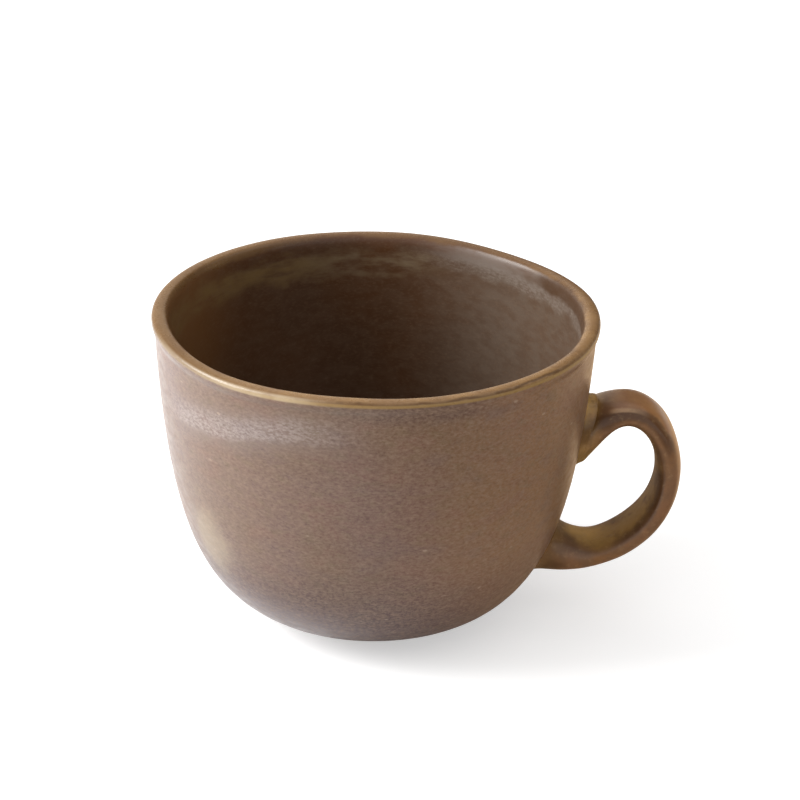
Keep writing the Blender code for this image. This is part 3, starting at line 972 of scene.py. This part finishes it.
def strap_glaze(name):
    material, tree, shader = new_material(name)
    add = partial(add_node, tree)
    place = add("TexCoord", output="Object")
    outwards = add("Attribute", output="Fac", attribute_name="outwards")
    sideways = add("Attribute", output="Fac", attribute_name="sideways")
    off_wall = add("Attribute", output="Fac", attribute_name="off_wall")
    height = add("SeparateXYZ", {"Vector": place}, output="Z")
    out = height.node.outputs["X"]
    across = height.node.outputs["Y"]
    cloud = add("TexNoise", {"Vector": place, "Scale": per(11), "Detail": 2.0})
    patch = add("TexNoise", {"Vector": place, "Scale": per(4), "Detail": 3.0})
    mottle = add("TexNoise", {"Vector": place, "Scale": per(1.4), "Detail": 4.0, "Roughness": 0.6})
    drawn_down = add("Mapping", {"Vector": place, "Scale": (1.0, 1.0, 0.25)})
    runs = add("TexNoise", {"Vector": drawn_down, "Scale": per(1.6), "Detail": 2.0})
    sway = add("MapRange", {0: cloud, 1: 0.3, 2: 0.7, 3: -0.15, 4: 0.15})
    wavy = add("Math", {0: outwards, 1: sway}, operation="ADD")
    pool_sway = add("Math", {0: sway, 1: 8.0, 2: off_wall}, operation="MULTIPLY_ADD")
    zones = (
        ("cool", cloud, 0.35, 0.65),
        ("soft mottle", patch, 0.35, 0.70, 0.5),
        ("light crystals", mottle, 0.50, 0.82, 0.30),
        ("dark crystals", mottle, 0.46, 0.20, 0.30),
        # darker, cooler flanks: painted shade and a painted reflection of the floor
        ("flank", sideways, 0.60, 0.95, 0.8),
        ("flank mottle", patch, 0.35, 0.65, 0.5, 1.0),
        ("finger side", wavy, -0.50, -0.95, 0.9),
        ("finger mottle", patch, 0.52, 0.30, 0.7),
        ("broken", cloud, 0.35, 0.60, 0.4, 1.0),
        # a dark line along the edge towards the finger's side
        ("seam top", wavy, -0.15, -0.60, 0.8),
        ("seam foot", wavy, -1.05, -0.70),
        ("arch", height, 0.042, 0.050),
        # painted dark reflection along the shoulders of the arch
        ("shoulder foot", wavy, -0.30, 0.20, 0.8),
        ("shoulder top", wavy, 0.82, 0.58),
        ("shoulder side", sideways, 0.50, 0.80),
        ("root shade", off_wall, 9.0, 4.0, 0.62),
        ("root upper", outwards, 0.05, 0.40),
        ("root start", off_wall, 1.8, 2.8),
        # painted glint: a light streak on the arch's top edge
        ("break foot", outwards, 0.46, 0.58, 0.65),
        ("break top", outwards, 0.78, 0.64),
        ("break side", sideways, 0.55, 0.75),
        ("break start", out, 0.0575, 0.0605),
        ("break end", out, 0.069, 0.064),
        ("pool", pool_sway, 5.6, 0.6, 0.8),
        ("pool top", sideways, 0.95, 0.60, 0.45, 1.0),
        ("runs", runs, 0.46, 0.62, 0.60),
        # painted shade: a dark band round the middle of the neck, under the strap's root
        ("neck foot", outwards, -0.30, 0.05, 0.55),
        ("neck top", outwards, 0.60, 0.30),
        ("neck reach", off_wall, 3.5, 1.5),
        ("low root", off_wall, 9.0, 2.0, 0.55),
        ("low height", height, 0.030, 0.024),
        ("low middle", outwards, -0.85, -0.45),
        ("upper half", height, 0.024, 0.034, 0.25, 1.0),
        # painted light: a bright patch over the lower root, on the finger's side
        ("low pool", outwards, -0.62, -0.84, 0.62),
        ("low pool start", off_wall, 1.5, 5.5),
        ("low pool end", off_wall, 16.0, 8.0),
        ("low pool far", across, -0.0050, 0.0010),
        ("roughness", wavy, -0.40, -0.85, *FINGER_ROUGHNESS),
    )
    products = (
        ("shoulder", "shoulder foot", "shoulder top", "shoulder side", "arch"),
        ("root shade", "root shade", "root start", "root upper"),
        ("finger edge line", "seam top", "seam foot", "broken"),
        ("flank", "flank", "flank mottle"),
        ("finger mottle", "finger mottle", "finger side"),
        ("pool", "pool", "pool top", "upper half"),
        ("runs", "runs", "pool"),
        ("neck", "neck foot", "neck top", "neck reach", "arch"),
        ("low root", "low root", "low height", "low middle"),
        ("low pool", "low pool", "low height", "low pool start", "low pool end", "low pool far"),
        ("glint", "break foot", "break top", "break side", "arch", "broken", "break start", "break end"),
    )
    layers = (
        ("soft mottle", "#906A42"), ("flank", "#6E503A"), ("finger side", "#957136"),
        ("finger mottle", "#6A4E2C"), ("root shade", "#3E240F"), ("finger edge line", "#452B14"), ("shoulder", "#46290F"),
        ("low root", "#573B22"), ("low pool", "#C4984C"), ("pool", "#A68240"), ("runs", "#4E3618"),
        ("neck", "#4A2D14"), ("glint", "#B89470"), ("light crystals", "#A88860"),
        ("dark crystals", "#523820"),
    )
    masks = {}
    skin = layered(add, masks, zones, products, ("cool", "#8E6239", "#865D3E"), layers)
    pebble = add("Bump", {"Height": patch, "Strength": 0.15, "Distance": 0.1 * MM})
    tree.links.new(skin, shader.inputs["Base Color"])
    tree.links.new(masks["roughness"], shader.inputs["Roughness"])
    tree.links.new(pebble, shader.inputs["Normal"])
    shader.inputs["Specular IOR Level"].default_value = 0.35
    return material


# Thin glass over clay: the eye sees the warm brown of the clay through it, with a soft gloss
handle.data.materials.append(strap_glaze("thin_brown_glaze"))
# The same glass where it pooled: thicker, so it looks olive
pooled = strap_glaze("pooled_olive_glaze")
upper_joint.data.materials.append(pooled)
lower_joint.data.materials.append(pooled)
print("handle glaze:", len(pooled.node_tree.nodes), "nodes")

# %% [markdown]
# ## Bare clay
# The foot is unglazed stoneware: fired, matt and a little sandy, toasted warmer where the flame reached it.
# The sand is drawn a little coarser than the real grit, which is too fine to show.

# %% Bare clay of the foot
# Fired clay without glass on it: the eye sees grit and a toasted tan, and no gloss
clay, tree, shader = new_material("bare_stoneware_clay")
add = partial(add_node, tree)
place = add("TexCoord", output="Object")
toast = add("TexNoise", {"Vector": place, "Scale": per(9), "Detail": 2.0})
sand = add("TexNoise", {"Vector": place, "Scale": per(0.7), "Detail": 3.0, "Roughness": 0.7})
toasted = add("MapRange", {0: toast, 1: 0.35, 2: 0.65}, **SOFT)
sandy = add("MapRange", {0: sand, 1: 0.55, 2: 0.70, 4: 0.6}, **SOFT)
skin = add("Mix", {0: toasted, 6: colour("#AE8E6E"), 7: colour("#997350")}, data_type="RGBA")
skin = add("Mix", {0: sandy, 6: skin, 7: colour("#7A5B41")}, data_type="RGBA")
grit = add("Bump", {"Height": sand, "Strength": 0.4, "Distance": 0.08 * MM})
tree.links.new(skin, shader.inputs["Base Color"])
tree.links.new(grit, shader.inputs["Normal"])
shader.inputs["Roughness"].default_value = 0.85
foot.data.materials.append(clay)
print("bare clay:", len(tree.nodes), "nodes")

# %% [markdown]
# ## Light and floor
# A white room gives an even light, in which a colour looks about as it is written. A large soft lamp at the
# left, a little behind, stands for a window: it brightens that side of the bowl and shines into it. The
# floor is white paper that glows a little towards the camera and in reflections, so that the shadow stays
# light.

# %% Room and window
WHITE = colour("#FFFFFF")
ROOM_LIGHT = 0.9
WINDOW_AZIMUTH = math.radians(86)     # to the left, from the camera's side
WINDOW_ELEVATION = math.radians(30)
WINDOW_DISTANCE = 0.7
WINDOW_SIZE = 0.45
WINDOW_POWER = 8.1


def seen_rays(tree):
    """1 for what the camera sees, straight or in a reflection, and 0 for light that falls on the cup."""
    rays = add_node(tree, "LightPath").node.outputs
    straight = add_node(tree, "Math", {0: rays["Is Camera Ray"], 1: rays["Is Transmission Ray"]},
                        operation="MAXIMUM")
    return add_node(tree, "Math", {0: straight, 1: rays["Is Glossy Ray"]}, operation="MAXIMUM")


bpy.context.scene.view_settings.view_transform = "Standard"
world = bpy.data.worlds.new("white_room")
bpy.context.scene.world = world
world.use_nodes = True
background = world.node_tree.nodes["Background"]
background.inputs["Color"].default_value = WHITE
seen = seen_rays(world.node_tree)
room = add_node(world.node_tree, "MapRange", {0: seen, 3: ROOM_LIGHT, 4: 1.0})
world.node_tree.links.new(room, background.inputs["Strength"])

aim = Vector((0.0, 0.0, CUP_HEIGHT / 2))
along_floor = Vector((-math.sin(WINDOW_AZIMUTH), -math.cos(WINDOW_AZIMUTH), 0.0)) * math.cos(WINDOW_ELEVATION)
toward = along_floor + Vector((0.0, 0.0, math.sin(WINDOW_ELEVATION)))
bpy.ops.object.select_all(action="DESELECT")
bpy.ops.object.light_add(type="AREA", location=aim + WINDOW_DISTANCE * toward)
window = bpy.context.object
window.name = "window"
window.rotation_euler = toward.to_track_quat("Z", "Y").to_euler()
window.data.size = WINDOW_SIZE
window.data.energy = WINDOW_POWER
print("window at", [round(value, 2) for value in window.location])

# %% Floor
FLOOR_SIZE = 6.0
FLOOR_GLOW = 0.45
bpy.ops.object.select_all(action="DESELECT")
bpy.ops.mesh.primitive_plane_add(size=FLOOR_SIZE)
floor = bpy.context.object
floor.name = "floor"
# Matt paper: the eye sees a plain pale ground with no gleam, only the shadow
paper, tree, shader = new_material("white_paper")
shader.inputs["Base Color"].default_value = colour("#DCDCDC")
shader.inputs["Roughness"].default_value = 0.9
shader.inputs["Emission Color"].default_value = WHITE
glow = add_node(tree, "Math", {0: seen_rays(tree), 1: FLOOR_GLOW}, operation="MULTIPLY")
tree.links.new(glow, shader.inputs["Emission Strength"])
floor.data.materials.append(paper)
print("floor:", FLOOR_SIZE, "m across")

# %% [markdown]
# A satin glaze also mirrors what stands round it. A felt board behind the cup and at the right, which only
# reflections see, keeps a white glare off the lip and the top of the handle. A shelf of the same felt lies
# on the floor at the right. It is brown in front, beige behind and white under the cup, which leaves a warm
# light rim on the wall's right edge and no grey glare low down.

# %% Felt board
BOARD_START = (-0.9, 0.6, 0.05)     # behind the cup at the left
BOARD_LENGTH = 1.7                  # from there to the right
BOARD_RETURN = 1.0                  # and forward, along the right side
BOARD_HEIGHT = 0.75
SHELF_SIZE = 0.81
SHELF_PLACE = (0.395, 0.0, 0.0005)

bpy.ops.object.select_all(action="DESELECT")
bpy.ops.mesh.primitive_plane_add(size=1.0)
board = bpy.context.object
board.name = "dark_board"
bpy.ops.object.mode_set(mode="EDIT")
bpy.ops.mesh.delete(type="ONLY_FACE")
bpy.ops.mesh.select_all(action="SELECT")
bpy.ops.mesh.merge(type="CENTER")
bpy.ops.transform.translate(value=BOARD_START)
bpy.ops.mesh.extrude_region_move(TRANSFORM_OT_translate={"value": (BOARD_LENGTH, 0.0, 0.0)})
bpy.ops.mesh.extrude_region_move(TRANSFORM_OT_translate={"value": (0.0, -BOARD_RETURN, 0.0)})
bpy.ops.mesh.select_all(action="SELECT")
bpy.ops.mesh.extrude_region_move(TRANSFORM_OT_translate={"value": (0.0, 0.0, BOARD_HEIGHT)})
bpy.ops.mesh.primitive_plane_add(size=SHELF_SIZE, location=SHELF_PLACE)
bpy.ops.object.mode_set(mode="OBJECT")
board.visible_camera = False
board.visible_diffuse = False
board.visible_shadow = False

# Felt has no gloss at all: what the eye sees of it, in the glaze, is a soft tone without an edge
felt, tree, shader = new_material("brown_felt")
add = partial(add_node, tree)
place = add("TexCoord", output="Object")
x_place = add("SeparateXYZ", {"Vector": place}, output="X")
y_place = x_place.node.outputs["Y"]
at_right = add("MapRange", {0: x_place, 1: 0.03, 2: 0.12}, **SOFT)
in_front = add("MapRange", {0: y_place, 1: 0.030, 2: 0.006}, **SOFT)
on_board = add("MapRange", {0: y_place, 1: 0.40, 2: 0.45}, **SOFT)
past_cup = add("MapRange", {0: x_place, 1: -0.01, 2: 0.045}, **SOFT)
either = add("Math", {0: in_front, 1: on_board}, operation="MAXIMUM")
brown = add("Math", {0: either, 1: at_right}, operation="MULTIPLY")
shelf_tone = add("Mix", {0: past_cup, 6: WHITE, 7: colour("#EECBA2")}, data_type="RGBA")
pale_tone = add("Mix", {0: on_board, 6: shelf_tone, 7: colour("#EAD3BC")}, data_type="RGBA")
felt_tone = add("Mix", {0: brown, 6: pale_tone, 7: colour("#7A5F48")}, data_type="RGBA")
tree.links.new(felt_tone, shader.inputs["Base Color"])
shader.inputs["Roughness"].default_value = 1.0
board.data.materials.append(felt)
print("stage:", floor.name, "and", board.name)
